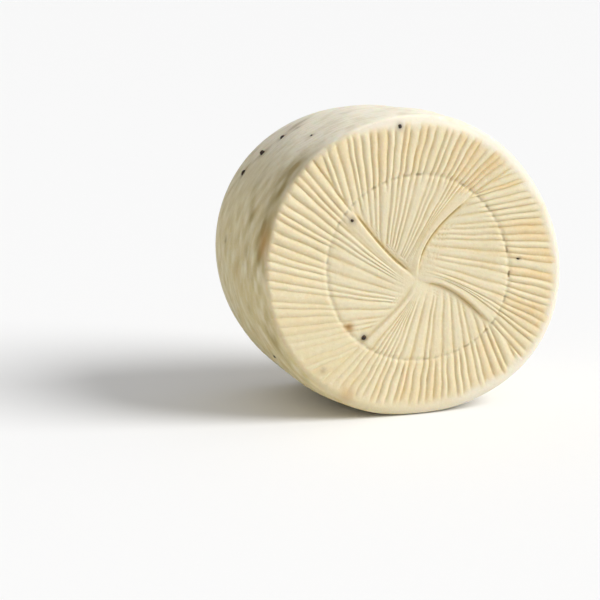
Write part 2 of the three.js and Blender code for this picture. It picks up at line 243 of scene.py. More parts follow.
spans = [math.degrees(fan_span(fan)) for fan in range(FANS)]
print("the fans span", np.round(spans, 1), "degrees at the rim")

# %% [markdown]
# ## The pleats
#
# The pleats of a fan are straight, spread evenly at the rim, and each passes the eye farther off
# than the one before, so they end under the edge of the next fan. Only the first few lie beside
# their own fold and bend with it.
#
# They could be drawn one by one. Here the question is turned round: a function finds the pleat
# that any point lies on, so the whole face is worked out at once, and the points can be laid
# along the pleats too. A pleat is a number u, from 0 at a fan's own fold to 1 at the next.
# `PLEAT_NEAR` and `PLEAT_FAR` say how far the first and the last pleat of each fan pass the eye.

# %% The pleats
PLEAT_NEAR = np.array([0.1, 0.02, 0.0, 0.03])
PLEAT_FAR = np.array([0.27, 0.3, 0.3, 0.42])
FLAP_SHARE = 0.3
FLAP_CORE = 0.25
HALVINGS = 20


def pleat_line(fan, u):
    """Pleat u as a straight line: the angle it runs out at, and how far it passes the eye."""
    gap = lerp(PLEAT_NEAR[fan], PLEAT_FAR[fan], smoothstep(u, 0, 1))
    return edge_angle(fan, 1) + u * fan_span(fan) - np.arcsin(gap), gap


def flap_width(fan, rho):
    """Width that the whole fan would have if all its pleats lay beside its folded edge."""
    return fan_span(fan) * np.hypot(rho, FLAP_CORE) / math.hypot(1, FLAP_CORE)


def past_pleat(fan, u, angle, rho):
    """How far a point lies past pleat u: past a curve beside the fold, later past a line."""
    past_curve = rho * (angle - edge_angle(fan, rho)) - u * flap_width(fan, rho)
    aim, gap = pleat_line(fan, u)
    past_line = rho * np.sin(angle - aim) - gap
    return lerp(past_curve, past_line, smoothstep(u, 0, FLAP_SHARE))


def pleat_at(fan, angle, rho):
    """The pleat through each point: the span from 0 to 1 is halved again and again."""
    low = np.zeros_like(angle)
    high = np.ones_like(angle)
    for _ in range(HALVINGS):
        middle = (low + high) / 2
        past = past_pleat(fan, middle, angle, rho) > 0
        low = np.where(past, middle, low)
        high = np.where(past, high, middle)
    return (low + high) / 2


outwards = np.linspace(0.1, 0.9, 5)
upright = np.full_like(outwards, math.pi / 2)
print("pleats met on the way up from the eye:", np.round(pleat_at(0, upright, outwards), 2))

# %% [markdown]
# ## The grooves
#
# Outside the binding thread every rush leaves its own ridge. Inside it the rushes are squeezed,
# a few lie flat beside each folded edge, and about half of the rest run in pairs. Rushes are
# grown and not drawn with a ruler, so each ridge has its own width. Even ridges would be one
# line, a sine of u, but they look machined. So the grooves between the ridges are placed first.

# %% Where the grooves lie
RIDGES_PER_FAN = 26
RIDGE_JITTER = 0.22
FAN_FLAP = [3, 3, 2, 2]
PAIRED_SHARE = 0.55


def outer_grooves(fan, seed):
    """Evenly spaced grooves from 0 to 1, each moved by a share of the spacing."""
    index = np.arange(RIDGES_PER_FAN + 1)
    inside = (index > 0) & (index < RIDGES_PER_FAN)
    shift = np.where(inside, RIDGE_JITTER * wobble(index + 40 * fan, seed), 0)
    return (index + shift) / RIDGES_PER_FAN


def inner_grooves(fan, seed, grooves):
    """The grooves that go on inside the thread: a flat flap first, then a seeded draw."""
    kept = [grooves[0]]
    index = FAN_FLAP[fan]
    while index < RIDGES_PER_FAN:
        kept.append(grooves[index])
        paired = wobble(index + 80 * fan, seed + 10) < 2 * PAIRED_SHARE - 1
        index += 2 if paired else 1
    return np.array(kept + [grooves[RIDGES_PER_FAN]])


print("the first grooves of a fan:", np.round(outer_grooves(0, 1)[:5], 3))

# %% [markdown]
# ## The ridges
#
# A ridge's section is a sine raised to a power below one: a broad crest between narrow grooves,
# as soft curd takes from round stems. A plain sine would look like corrugated iron. Each ridge
# has its own height too.
#
# A loop could add one ridge after another, but each would have to visit every point. Instead
# the grooves of the four fans are kept in one rising list, with fan number f from 2f to 2f + 1,
# so that one search finds the ridge of any point. The back face has its own draw, a little
# shallower, because the cheese lay on it for less time.

# %% The ridges of the two faces
CREST_POWER = 0.7
RIDGE_UNEVEN = 0.25
BACK_STRENGTH = 0.9


def ridge_section(t):
    """0 in the grooves at t = 0 and 1, and 1 on the crest: a half sine to the crest's power."""
    return np.maximum(np.sin(math.pi * np.clip(t, 0, 1)), 0) ** CREST_POWER


def ridge(grooves, fan, u, folded, seed):
    """Section of the ridge that pleat u of a fan is in, its number, and its height factor.
    Where folded is 1, the ridge at the fold is only its falling half, from the crest."""
    place = 2 * fan + np.clip(u, 0, 1 - 1e-9)
    number = np.searchsorted(grooves, place, side="right") - 1
    t = (place - grooves[number]) / (grooves[number + 1] - grooves[number])
    at_edge = grooves[number] == 2 * fan
    t = lerp(t, (1 + t) / 2, np.where(at_edge, folded, 0))
    return ridge_section(t), number, 1 + RIDGE_UNEVEN * wobble(number, seed)


def make_face(seed, strength, side):
    """What one face needs: its seed, how deep its print is, which side it is, its grooves."""
    outer = [outer_grooves(fan, seed) for fan in range(FANS)]
    inner = [inner_grooves(fan, seed, outer[fan]) for fan in range(FANS)]
    lists = [np.concatenate([grooves[fan] + 2 * fan for fan in range(FANS)])
             for grooves in (outer, inner)]
    return dict(seed=seed, strength=strength, side=side, outer=lists[0], inner=lists[1])


FRONT = make_face(1, 1.0, 1)
BACK = make_face(2, BACK_STRENGTH, -1)
print("ridges on a face outside and inside the thread:",
      len(FRONT["outer"]) - FANS, len(FRONT["inner"]) - FANS)


# %% [markdown]
# ## The thread and the odd places
#
# A thread binds the rushes in a ring and pinches them, so the face has a thin groove there, whose
# ring isn't quite centred on the eye. One patch at the lower left is blurred, as if the curd had
# slipped when it was turned out. At its edge is a small rusty pit where a peppercorn came away,
# and near the rim a rusty spot. Such places could be painted by hand. As bells round a named
# spot, the relief and the colour share them and stay in step.

# %% The thread, the blur and the spots
THREAD_DEPTH = 0.7 * MM
THREAD_WIDTH = 2 * MM
THREAD_RADIUS, THREAD_SHIFT, THREAD_TOWARDS = 0.617, 0.035, math.radians(62)
BLUR_TOWARDS = math.radians(213)
BLUR_FOCUS = 9
BLUR_BEGINS = (0.5, 0.65)


def thread_at(angle):
    """Share of the radius where the thread runs: a ring whose middle is a little off the eye."""
    return THREAD_RADIUS + THREAD_SHIFT * np.cos(angle - THREAD_TOWARDS)


def blur(angle, rho):
    """How blurred the print is: a bell round one direction, beginning some way out."""
    near = np.cos(angle - BLUR_TOWARDS)
    return np.exp((near - 1) * BLUR_FOCUS) * smoothstep(rho, *BLUR_BEGINS)


def spot_at(share, degrees):
    """Place of a spot in rim radii from the eye: its distance times the cosine and the sine."""
    return share * math.cos(math.radians(degrees)), share * math.sin(math.radians(degrees))


def near_spot(x, z, spot, size):
    """A bell round a spot of the face: e to the minus square of the distance over the size."""
    away = np.hypot(x - spot[0], z - spot[1]) * RIM_RADIUS / size
    return np.exp(-(away**2))


PIT_AT = spot_at(0.569, 214)
PATCH_AT = spot_at(0.938, 238)
nearest, farthest = THREAD_RADIUS - THREAD_SHIFT, THREAD_RADIUS + THREAD_SHIFT
print("the thread runs about", round(nearest * RIM_RADIUS / MM), "to",
      round(farthest * RIM_RADIUS / MM), "mm from the eye")

# %% [markdown]
# ## The blade of a fan
#
# A fan tilts like a turbine blade, so that its folded edge stands proud of the fan before it.
# Some of its ridges ripened to a warmer colour than others, above all towards the rim and on the
# right. Tilt and warmth could be painted, but both follow from where a point lies on its fan.

# %% The tilt and the warmth of a fan
FAN_STEP = np.array([2.2, 2.4, 1.2, 1.8, 2.2]) * MM
TILT_PROUD, TILT_LOW, TILT_POWER = 0.55, 0.45, 1.5
STEP_BEGINS = (0, 0.12)
STEP_ENDS = (0.42, 0.7)
WARM_BEGINS = (0.5, 0.88)
WARM_TOWARDS = math.radians(5)


def fan_tilt(fan, rho, angle):
    """Height of a fan's blade: proud at its own fold, falling by a power to the next fold."""
    edge = edge_angle(fan, rho)
    across = np.clip((angle - edge) / (edge_angle(fan + 1, rho) - edge), 0, 1)
    step = FAN_STEP[fan] * (1 - smoothstep(rho, *STEP_ENDS)) * smoothstep(rho, *STEP_BEGINS)
    low = -TILT_LOW * FAN_STEP[fan + 1] / FAN_STEP[fan]
    return step * lerp(TILT_PROUD, low, across**TILT_POWER)


def ridge_warmth(face, number, rho, angle):
    """How ripe a ridge is: its own draw, stronger towards the rim and towards the right."""
    right = 0.5 + 0.5 * np.cos(angle - WARM_TOWARDS)
    own = np.clip(0.3 + 0.75 * wobble(number, face["seed"] + 70), 0, 1)
    return own * lerp(0.25, 1, smoothstep(rho, *WARM_BEGINS)) * lerp(0.3, 1, right)


print("steps at the four folds:", np.round(FAN_STEP[:FANS] / MM, 1), "mm")

# %% [markdown]
# ## The relief of a fan
#
# Each point of a face gets a height along the surface's normal, and numbers that the material
# uses later: how deep in a groove it lies, where whey dries yellow, whether the print reaches
# it, and how warm its ridge is. Each ridge wanders, swells and thins along its length, and ends
# at its own place. On one side the ridges run right over the crisp rim and leave it toothed.
#
# A normal map would be quicker, but it leaves the outline smooth and casts no shadow, and the
# print's look is mostly its shadows. So all of it is real height. It is measured from the face's
# own level, which lies at `LEVEL` of a ridge's height, because a basket presses as much curd up
# as it presses down. `FINE_RIDGES` is how faintly every single rush still shows inside the
# thread, between the paired ones.

# %% The relief of a fan
RIDGE_HEIGHT = 1.25 * MM
INNER_HEIGHT = 0.8 * MM
LEVEL = 0.6
FINE_RIDGES = 0.16
RIDGE_WANDER = 0.13
WANDERS = 5
SWELL, SWELL_RATE = 0.22, 21
DISH_DEPTH = 1.2 * MM
PIT_DEPTH = 1.1 * MM
PIT_SIZE = 2.4 * MM
BLUR_FLATTENS = 0.65
# Where something begins and ends as one goes outwards, in rim radii from the eye.
PRINT_BEGINS = (0.03, 0.28)
INNER_PRINT_ENDS = (0.56, 0.68)
FLAP_ENDS = (0.5, 0.7)
DISH_ENDS = (0.1, 0.9)
# The same beside the end of a ridge, for its height and for its colour.
END_JITTER = 0.016
RIDGE_ENDS = (-0.05, 0)
COLOUR_ENDS = (-0.035, 0.02)


def fan_relief(face, fan, u, rho, walk, angle, clear=1):
    """Height, groove depth, print share and ridge warmth: the blade's tilt, plus the outer or
    inner ridges where they run, less the thread, the dish of the whole face and the pit."""
    inside = 1 - smoothstep(rho, *INNER_PRINT_ENDS)
    folded = 1 - smoothstep(rho, *FLAP_ENDS)
    x, z = rho * np.cos(angle), rho * np.sin(angle)
    wander = RIDGE_WANDER / RIDGES_PER_FAN * ripple(x * WANDERS, z * WANDERS, face["seed"] + 14, 7)
    bent = u + wander * smoothstep(u, 0, 0.06)
    outer, number, outer_factor = ridge(face["outer"], fan, bent, 0, face["seed"] + 20)
    inner, _, inner_factor = ridge(face["inner"], fan, bent, folded, face["seed"] + 30)
    swell = 1 + SWELL * np.sin(walk * SWELL_RATE + 9 * wobble(number, 61)) * wobble(number, 62)
    end = rim_plan(angle, REACH) + END_JITTER * wobble(number, face["seed"] + 60)
    run = 1 - smoothstep(walk, end + RIDGE_ENDS[0], end + RIDGE_ENDS[1])
    run = run * smoothstep(rho, *PRINT_BEGINS) * clear * (1 - BLUR_FLATTENS * blur(angle, rho))
    printed = 1 - smoothstep(walk, end + COLOUR_ENDS[0], end + COLOUR_ENDS[1])
    outer_print = RIDGE_HEIGHT * outer_factor * swell * (outer - LEVEL)
    inner_print = INNER_HEIGHT * (inner_factor * (inner - LEVEL) + FINE_RIDGES * (outer - 1))
    from_thread = (rho - thread_at(angle)) * RIM_RADIUS / THREAD_WIDTH
    thread = THREAD_DEPTH * np.exp(-2 * from_thread**2)
    pit = PIT_DEPTH * near_spot(x, z, PIT_AT, PIT_SIZE)
    dish = DISH_DEPTH * (1 - smoothstep(rho, *DISH_ENDS))
    ridges = lerp(outer_print, inner_print, inside) * run
    height = face["strength"] * (fan_tilt(fan, rho, angle) + ridges - thread)
    groove = (1 - lerp(outer, inner, inside)) * run
    warm = ridge_warmth(face, number, rho, angle) * printed
    return height - dish - pit, groove, printed, warm


met = fan_relief(FRONT, 0, pleat_at(0, upright, outwards), outwards, outwards, upright)
print("depth in the grooves on the way up from the eye:", np.round(met[1], 2))

# %% [markdown]
# ## From fan to fan
#
# Where a fan goes under the next one, the curd has a steep little step, the darkest line of the
# print. The fan's ridges fade out before it, so that they don't nick the fold, and its foot
# counts as a deep groove. There the material paints a dark line: painted shade at the foot of the
# step, mixed with dark straw-coloured dried whey. The step is a blend from this fan's relief to
# the next fan's, over points that are laid up its side. A boolean cut would give the same line,
# but with a mesh that can't be shaded smoothly.

# %% The relief of a face
RIDGES_CLEAR = (0.3 * MM, 3.6 * MM)
# A line of painted shade at the foot of each step: its width, its strength, and where it begins and
# ends.
SHADOW_WIDTH = 1.9 * MM
SHADOW_STRENGTH = 1.45
SHADOW_BEGINS = (0.02, 0.12)
SHADOW_ENDS = (0.5, 0.68)


def face_relief(face, points):
    """Relief of a whole face: each point's own fan, blended over the step into the next."""
    fan, u, rho, walk, angle = (points[key] for key in ("fan", "u", "rho", "walk", "angle"))
    last = last_angle(fan, rho)
    following = edge_angle(fan + 1, rho)
    folded = 1 - smoothstep(rho, *SHADOW_ENDS)
    before_step = (last - angle) * rho * RIM_RADIUS
    clear = lerp(1, smoothstep(before_step, *RIDGES_CLEAR), folded)
    own = fan_relief(face, fan, u, rho, walk, np.minimum(angle, last), clear)
    beyond = fan_relief(face, (fan + 1) % FANS, np.zeros_like(u), rho, walk, following)
    blend = smoothstep(points["climb"], 0, 1)
    height, groove, printed, warm = (lerp(a, b, blend) for a, b in zip(own, beyond))
    # A bell of painted shade at the foot of the step, stored as extra groove depth.
    shadow = np.exp(-((before_step / SHADOW_WIDTH) ** 2)) * folded * smoothstep(rho, *SHADOW_BEGINS)
    groove = np.maximum(groove, SHADOW_STRENGTH * shadow * FAN_STEP[fan + 1] / FAN_STEP.max())
    return height, groove, printed, warm


first_fan = np.zeros_like(outwards, dtype=int)
sample = dict(fan=first_fan, u=pleat_at(first_fan, upright, outwards), rho=outwards,
              walk=outwards, angle=upright, climb=np.zeros_like(outwards))
print("relief on the way up from the eye:", np.round(face_relief(FRONT, sample)[0] / MM, 2), "mm")

# %% [markdown]
# ## The relief of the wall
#
# The basket's side is wound from thin split rushes that climb slowly round it, so the wall has
# soft streaks, nearly level but about 13 degrees off. Their number round the drum is whole, so
# they meet again where the wall closes, but for a small jump in their wander. Upright stakes
# cross them, and the streaks are broken up, because curd only fills the weave here and there.
#
# A bump map would do for streaks half a millimetre high, but as geometry they also show in the
# outline.

# %% The relief of the wall
STREAK_PITCH = 4.6 * MM
STREAK_TURNS = 30
STREAK_HEIGHT = 0.55 * MM
STREAK_WANDER = 0.35
WANDER_AROUND, WANDER_ACROSS = 31 * MM, 24 * MM
PATCHY, PATCH_ROUND, PATCH_ACROSS = 0.4, 6, 40 * MM
STAKES, STAKE_SHARE = 68, 0.25
STREAK_BEGINS = (2 * MM, 16 * MM)


def wall_relief(angle, depth):
    """Slanted streaks of the wound rushes, and the share of each that the curd took up."""
    climb = depth / STREAK_PITCH - STREAK_TURNS * angle / TURN
    around = angle * RIM_RADIUS
    wander = STREAK_WANDER * ripple(around / WANDER_AROUND, depth / WANDER_ACROSS, 5)
    section = ridge_section(np.mod(climb + wander, 1))
    patch_x, patch_y = np.cos(angle) * PATCH_ROUND + depth / PATCH_ACROSS, np.sin(angle) * PATCH_ROUND
    patchy = 1 - PATCHY + PATCHY * ripple(patch_x, patch_y, 8)
    crossing = STAKE_SHARE * np.cos(STAKES * angle + math.pi * np.floor(climb + wander))
    fade = smoothstep(np.minimum(depth, THICKNESS - depth), *STREAK_BEGINS)
    height = STREAK_HEIGHT * (section - LEVEL + crossing * section) * patchy * fade
    return height, (1 - section) * patchy * fade


streak_slope = STREAK_PITCH * STREAK_TURNS / (TURN * RIM_RADIUS)
print("the streaks climb at", round(math.degrees(math.atan(streak_slope)), 1), "degrees")

# %% [markdown]
# ## One closed skin
#
# The skin is a stack of rings, from the eye of the front face, over the rim and the wall, to the
# eye of the back face. A ring near the eye needs few points and a ring across the ridges many,
# so the number doubles or halves on the way. An even grid that is fine enough for the grooves
# would have several times as many faces.
#
# A row of rings gives the points in each ring, the shares of the rim radius at which the first
# and the last of them lie, and how many there are. Past `FLAT_END` the rings are spread over
# what is left of the face and over the rounding, and a row gives the points and the share of
# that way.

# %% The plan of the rings
FLAT_END = 0.92
FRONT_RINGS = [(64, 0.012, 0.03, 3), (128, 0.037, 0.05, 3), (256, 0.06, 0.15, 9),
               (512, 0.16, 0.37, 19), (512, 0.386, 0.558, 10), (1024, 0.57, 0.664, 12),
               (1024, 0.68, FLAT_END, 14)]
BACK_RINGS = [(64, 0.012, 0.045, 3), (128, 0.06, 0.125, 4), (256, 0.145, 0.3, 7),
              (512, 0.325, 0.56, 9), (1024, 0.58, FLAT_END, 13)]
FRONT_ROUNDING = [(1024, 0.1), (1024, 0.2), (1024, 0.3), (1024, 0.4), (1024, 0.5), (1024, 0.6),
                  (1024, 0.7), (512, 0.8), (512, 0.9), (256, 1)]
BACK_ROUNDING = [(1024, 0.15), (1024, 0.3), (1024, 0.45), (1024, 0.6), (512, 0.75), (512, 0.88),
                 (256, 1)]
print("rings on the front and the back face:",
      sum(count for *_, count in FRONT_RINGS) + len(FRONT_ROUNDING),
      sum(count for *_, count in BACK_RINGS) + len(BACK_ROUNDING))

# %% [markdown]
# ## Where a ring lies
#
# On the real face the thread is one clean line. Round rings would cut across it in stairs, so
# the rings near the thread bend with it. Past the flat of the face a ring climbs over the
# rounding, which is broad in one place and narrow in another. Where a fold crosses such a ring
# could be solved for, but putting the angle back in a few times is as good and much shorter.

# %% The place of a ring
PULL_WIDTH = 0.16
CROSSINGS = 4


def rounding_at(face, seen):
    """Radius of the rounding, and the wall's mean radius where it starts, at an angle."""
    curve = rim_plan(seen, ROUNDING) * MM
    return curve, wall_radius(curve if face["side"] > 0 else THICKNESS - curve)


def face_place(face, share, walked, seen):
    """Share of the radius, bend of the rounding, and share walked outwards, for each point."""
    curve, rim = rounding_at(face, seen)
    near = np.exp(-(((share - THREAD_RADIUS) / PULL_WIDTH) ** 2))
    pulled = share + near * (thread_at(seen) - THREAD_RADIUS)
    flat = rim - curve - FLAT_END * RIM_RADIUS
    along = walked * (flat + curve * math.pi / 2)
    bend = np.maximum(along - flat, 0) / curve
    straight = FLAT_END + along / RIM_RADIUS
    curved = (rim - curve * (1 - np.sin(bend))) / RIM_RADIUS
    rho = np.where(walked > 0, np.where(along < flat, straight, curved), pulled)
    return rho, np.where(walked > 0, bend, 0), np.where(walked > 0, straight, pulled)


def crossing(face, curve, fan, share, walked):
    """Angle where a curve crosses the bent rings, by putting it back in a few times."""
    angle = curve(fan, share)
    for _ in range(CROSSINGS):
        rho, _, _ = face_place(face, share, walked, angle)
        angle = curve(fan, rho)
    return angle


meets = crossing(FRONT, edge_angle, np.arange(FANS), THREAD_RADIUS, 0)
print("the folds cross the thread at", np.round(np.degrees(meets)), "degrees")

# %% [markdown]
# ## The points of a ring
#
# The pleats are clean lines too, and a plain polar grid would leave them ragged. So the columns
# of points follow the pleats. The pleats that have gone under the next fold squeeze their points
# in beside it, and a last few points climb the step. To find the angle of each pleat on a ring,
# the pleats of many trial points are worked out and read backwards by interpolation.

# %% Points of a face's rings
TRIALS = 160
SQUEEZE = 0.06
COLUMNS_PER_RISE = 256


def fan_columns(size, last, following, trial, pleats):
    """Angles of one fan's points on a ring: each keeps to its pleat, and the pleats that have
    gone under the next fold squeeze their points in beside it. The rest climb the step."""
    rise = max(1, size // COLUMNS_PER_RISE)
    foot = size // FANS - rise
    place = np.arange(size // FANS)
    climb = np.maximum(place - foot, 0) / rise
    level = np.minimum(place / foot, 1)
    knee = max(pleats[-1] - SQUEEZE, 0)
    squeezed = knee + (level - knee) / (1 - knee) * (pleats[-1] - knee)
    on_fan = np.interp(np.where(level < knee, level, squeezed), pleats, trial)
    return np.where(climb > 0, lerp(last, following, climb), on_fan), climb


def face_points(face, rings, rounding):
    """Fan, pleat, angle and place of every point of a face's rings, as long arrays."""
    rows = [(columns, share, 0) for columns, first, last, count in rings
            for share in np.linspace(first, last, count)]
    rows += [(columns, FLAT_END, walked) for columns, walked in rounding]
    sizes, share, walked = (np.array(column) for column in zip(*rows))
    fan, ring = np.arange(FANS), (share[:, None], walked[:, None])
    first = crossing(face, edge_angle, fan, *ring)
    last = crossing(face, last_angle, fan, *ring)
    following = crossing(face, edge_angle, fan + 1, *ring)
    trial = np.moveaxis(np.linspace(first, last, TRIALS), 0, -1)
    rho, _, _ = face_place(face, share[:, None, None], walked[:, None, None], trial)
    pleats = np.maximum.accumulate(pleat_at(fan[:, None], trial, rho), axis=-1)
    columns = [fan_columns(size, last[row, each], following[row, each], trial[row, each],
                           pleats[row, each]) for row, size in enumerate(sizes) for each in fan]
    angle, climb = (np.concatenate(part) for part in zip(*columns))
    fan = np.concatenate([np.repeat(fan, size // FANS) for size in sizes])
    rho, bend, walk = face_place(face, np.repeat(share, sizes), np.repeat(walked, sizes), angle)
    u = pleat_at(fan, np.minimum(angle, last_angle(fan, rho)), rho)
    return dict(sizes=sizes, fan=fan, u=u, climb=climb, rho=rho, bend=bend, walk=walk, angle=angle)


front = face_points(FRONT, FRONT_RINGS, FRONT_ROUNDING)
back = face_points(BACK, BACK_RINGS, BACK_ROUNDING)
print("points on the front and the back face:", len(front["angle"]), len(back["angle"]))

# %% [markdown]
# ## Putting a face in its place
#
# The plan becomes a surface: the eye's offset fades out towards the rim, the outline scales the
# radius, and the relief is added along the normal, which turns with the rounding. The back face
# is worked out as if seen from behind. Where the basket's thread went in and out between the
# rushes, it left dark dashes. A texture along a curve could draw them, but a value on the points
# needs no second mesh.

# %% Points and values of the two faces
DASHES = 50
DASH_EDGE = (0.5, 0.9)
DASH_TOWARDS = math.radians(15)
GAP_MOST = 6
PIT_STAIN = 3 * MM
PATCH_STAIN = 5 * MM
BLUR_PALES = 0.6


def stitches(face, angle):
    """How dark the thread is: short dashes of uneven strength, clearest on the right."""
    phase = DASHES * angle / TURN
    dash = smoothstep(np.sin(math.pi * np.mod(phase, 1)), *DASH_EDGE)
    own = np.clip(0.45 + 0.55 * wobble(np.floor(phase) % DASHES, face["seed"] + 80), 0.08, 1)
    return dash * own * (0.65 + 0.35 * np.cos(angle - DASH_TOWARDS))


def place_face(face, points):
    """Points of a face: eye offset plus the outline, and relief along the surface's normal.
    With them the values groove, printed, warm, gap to the thread in mm, dash and rust."""
    height, groove, printed, warm = face_relief(face, points)
    seen, rho, bend = points["angle"], points["rho"], points["bend"]
    angle = seen if face["side"] > 0 else math.pi - seen
    curve, _ = rounding_at(face, seen)
    inward = np.maximum(1 - rho, 0) * RIM_RADIUS
    radius = rho * RIM_RADIUS * outline(angle) + height * np.sin(bend)
    x = face["side"] * EYE[0] * inward + radius * np.cos(angle)
    z = EYE[1] * inward + radius * np.sin(angle)
    depth = curve * (1 - np.cos(bend)) - height * np.cos(bend)
    y = depth if face["side"] > 0 else THICKNESS - depth
    gap = np.clip((rho - thread_at(seen)) * RIM_RADIUS / MM, -GAP_MOST, GAP_MOST)
    flat = rho * np.cos(seen), rho * np.sin(seen)
    rust = near_spot(*flat, PIT_AT, PIT_STAIN) + 0.5 * near_spot(*flat, PATCH_AT, PATCH_STAIN)
    printed = printed * (1 - BLUR_PALES * blur(seen, rho))
    values = [groove, printed, warm, gap, stitches(face, seen), rust]
    return np.stack([x, y, z], 1), np.stack(values, 1)


front_points, front_values = place_face(FRONT, front)
back_points, back_values = place_face(BACK, back)
print("the front face's points stand up to", round(-front_points[:, 1].min() / MM, 2), "mm proud")


# %% [markdown]
# ## The rings of the wall
#
# The wall joins the last ring of the front face to the last ring of the back face. Both rings
# were laid out by their own pleats, so their points don't face each other. The back ring is read
# backwards and turned until its points lean least from the front's, and each column of the wall
# then runs a little slanted from one to the other. Two rings at even angles would be simpler,
# but would need a row of odd faces along both rims, just where the light catches them.
#
# At the end the whole drum is moved to where it stands: the middle of the wall over the origin,
# and the lowest part pressed flat on the floor.

# %% Points and values of the wall
WALL_COLUMNS = 256
WALL_STEPS = 80
BACK_TURNS = 64
SETTLES = (0, 0.1)
WALL_GROOVE = 0.8


def wrap(angle):
    """The same angle brought between half a turn back and half a turn on."""
    return np.mod(angle + math.pi, TURN) - math.pi


def back_order(columns, shift):
    """Order in which a back ring's points follow the front's: reversed and turned."""
    return np.roll(-np.arange(columns) % columns, -shift * columns // BACK_TURNS)


def place_wall(front_ring, back_ring):
    """Points of the wall: radius times outline, plus the slow wave and the weave."""
    share = np.repeat(np.arange(1, WALL_STEPS + 1) / (WALL_STEPS + 1), WALL_COLUMNS)
    start = np.tile(front_ring, WALL_STEPS)
    angle = start + share * wrap(np.tile(back_ring, WALL_STEPS) - start)
    front_curve, _ = rounding_at(FRONT, angle)
    back_curve, _ = rounding_at(BACK, math.pi - angle)
    depth = lerp(front_curve, THICKNESS - back_curve, share)
    weave, groove = wall_relief(angle, depth)
    settle = smoothstep(np.minimum(share, 1 - share), *SETTLES)
    radius = wall_radius(depth) * outline(angle) + settle * (wall_wave(angle, depth) + weave)
    points = np.stack([radius * np.cos(angle), depth, radius * np.sin(angle)], 1)
    nothing = np.zeros_like(groove)
    values = [groove * WALL_GROOVE, nothing, nothing, nothing + GAP_MOST, nothing, nothing]
    return points, np.stack(values, 1)


def stand(points):
    """From the drum's own place into the frame: middle of the wall over the origin, pressed."""
    x, y, z = points.T
    return np.stack([x, y - THICKNESS / 2, press(z + AXIS_HEIGHT)], 1)


front_ring = front["angle"][-WALL_COLUMNS:]
back_ring = math.pi - back["angle"][-WALL_COLUMNS:]
apart = [np.abs(wrap(back_ring[back_order(WALL_COLUMNS, shift)] - front_ring)).mean()
         for shift in range(BACK_TURNS)]
BACK_SHIFT = int(np.argmin(apart))
side_points, side_values = place_wall(front_ring, back_ring[back_order(WALL_COLUMNS, BACK_SHIFT)])
print("the wall's columns lean by", round(math.degrees(min(apart)), 2), "degrees on average")


# %% [markdown]
# ## Joining the rings
#
# Two rings with the same number of points are joined by quads. Where the number doubles, each
# coarse step meets two fine ones with three triangles. Blender's bridge tool can do this too,
# but it guesses the pairing, and here the order of the corners keeps every face pointing
# outwards, all the way from the front eye to the back eye.

# %% Faces between rings
def join(near, far):
    """Polygons between two rings of point numbers that are equal, halved or doubled in count."""
    if len(near) == len(far):
        quads = np.stack([near, far, np.roll(far, -1), np.roll(near, -1)], 1)
        return quads.tolist()
    if 2 * len(near) == len(far):
        a, a_next = near, np.roll(near, -1)
        b, b_half, b_next = far[0::2], far[1::2], np.roll(far[0::2], -1)
        parts = [(a, b, b_half), (a, b_half, a_next), (a_next, b_half, b_next)]
    else:
        a, a_half, a_next = near[0::2], near[1::2], np.roll(near[0::2], -1)
        b, b_next = far, np.roll(far, -1)
        parts = [(a, b, a_half), (a_half, b, b_next), (a_half, b_next, a_next)]
    return np.concatenate([np.stack(part, 1) for part in parts]).tolist()


def build_mesh(name, points, polygons, attributes):
    """A mesh object at the origin from arrays, smooth, with its float attributes."""
    mesh = bpy.data.meshes.new(name)
    mesh.from_pydata(points.tolist(), [], polygons)
    for key, values in attributes.items():
        layer = mesh.attributes.new(key, "FLOAT", "POINT")
        layer.data.foreach_set("value", np.asarray(values, dtype=np.float32))
    mesh.polygons.foreach_set("use_smooth", np.ones(len(mesh.polygons), dtype=bool))
    mesh.validate()
    mesh.update()
    piece = bpy.data.objects.new(name, mesh)
    bpy.context.scene.collection.objects.link(piece)
    return piece


print("faces from 4 points to 4, and from 4 to 8:",
      len(join(np.arange(4), np.arange(4))), len(join(np.arange(4), np.arange(8))))

# %% [markdown]
# ## Stacking the skin
#
# Now the front face, the wall and the back face are put in one long list of points, with a point
# for each eye at the two ends. The rings are numbered in the same order, the back face's from
# its rim inwards, and each is joined to the next. Three separate pieces would be simpler to
# build, but light that goes into the curd would leak out at their open edges.

# %% Build the skin
# An eye's own values: a shallow groove, printed, hardly warm, well inside the thread.
EYE_VALUES = np.array([[0.2, 1, 0.1, -GAP_MOST, 0, 0]])
eye_front = np.array([[EYE[0] * RIM_RADIUS, DISH_DEPTH, EYE[1] * RIM_RADIUS]])
eye_back = np.array([[-EYE[0] * RIM_RADIUS, THICKNESS - DISH_DEPTH, EYE[1] * RIM_RADIUS]])
skin_points = stand(np.concatenate([eye_front, front_points, side_points, back_points, eye_back]))
skin_values = np.concatenate([EYE_VALUES, front_values, side_values, back_values, EYE_VALUES])

sizes = np.concatenate([front["sizes"], np.full(WALL_STEPS, WALL_COLUMNS)])
starts = 1 + np.concatenate([[0], np.cumsum(sizes)])
rings = [np.arange(start, start + size) for start, size in zip(starts, sizes)]
back_starts = starts[-1] + np.concatenate([[0], np.cumsum(back["sizes"])])
for start, size in list(zip(back_starts, back["sizes"]))[::-1]:
    rings.append(start + back_order(size, BACK_SHIFT))
last_point = len(skin_points) - 1
skin_polygons = [[0, a, b] for a, b in zip(rings[0].tolist(), np.roll(rings[0], -1).tolist())]
for near, far in zip(rings[:-1], rings[1:]):
    skin_polygons += join(near, far)
closing = zip(rings[-1].tolist(), np.roll(rings[-1], -1).tolist())
skin_polygons += [[a, last_point, b] for a, b in closing]
triangle_count = sum(len(polygon) - 2 for polygon in skin_polygons)
print("skin:", len(skin_points), "points,", triangle_count, "triangles")

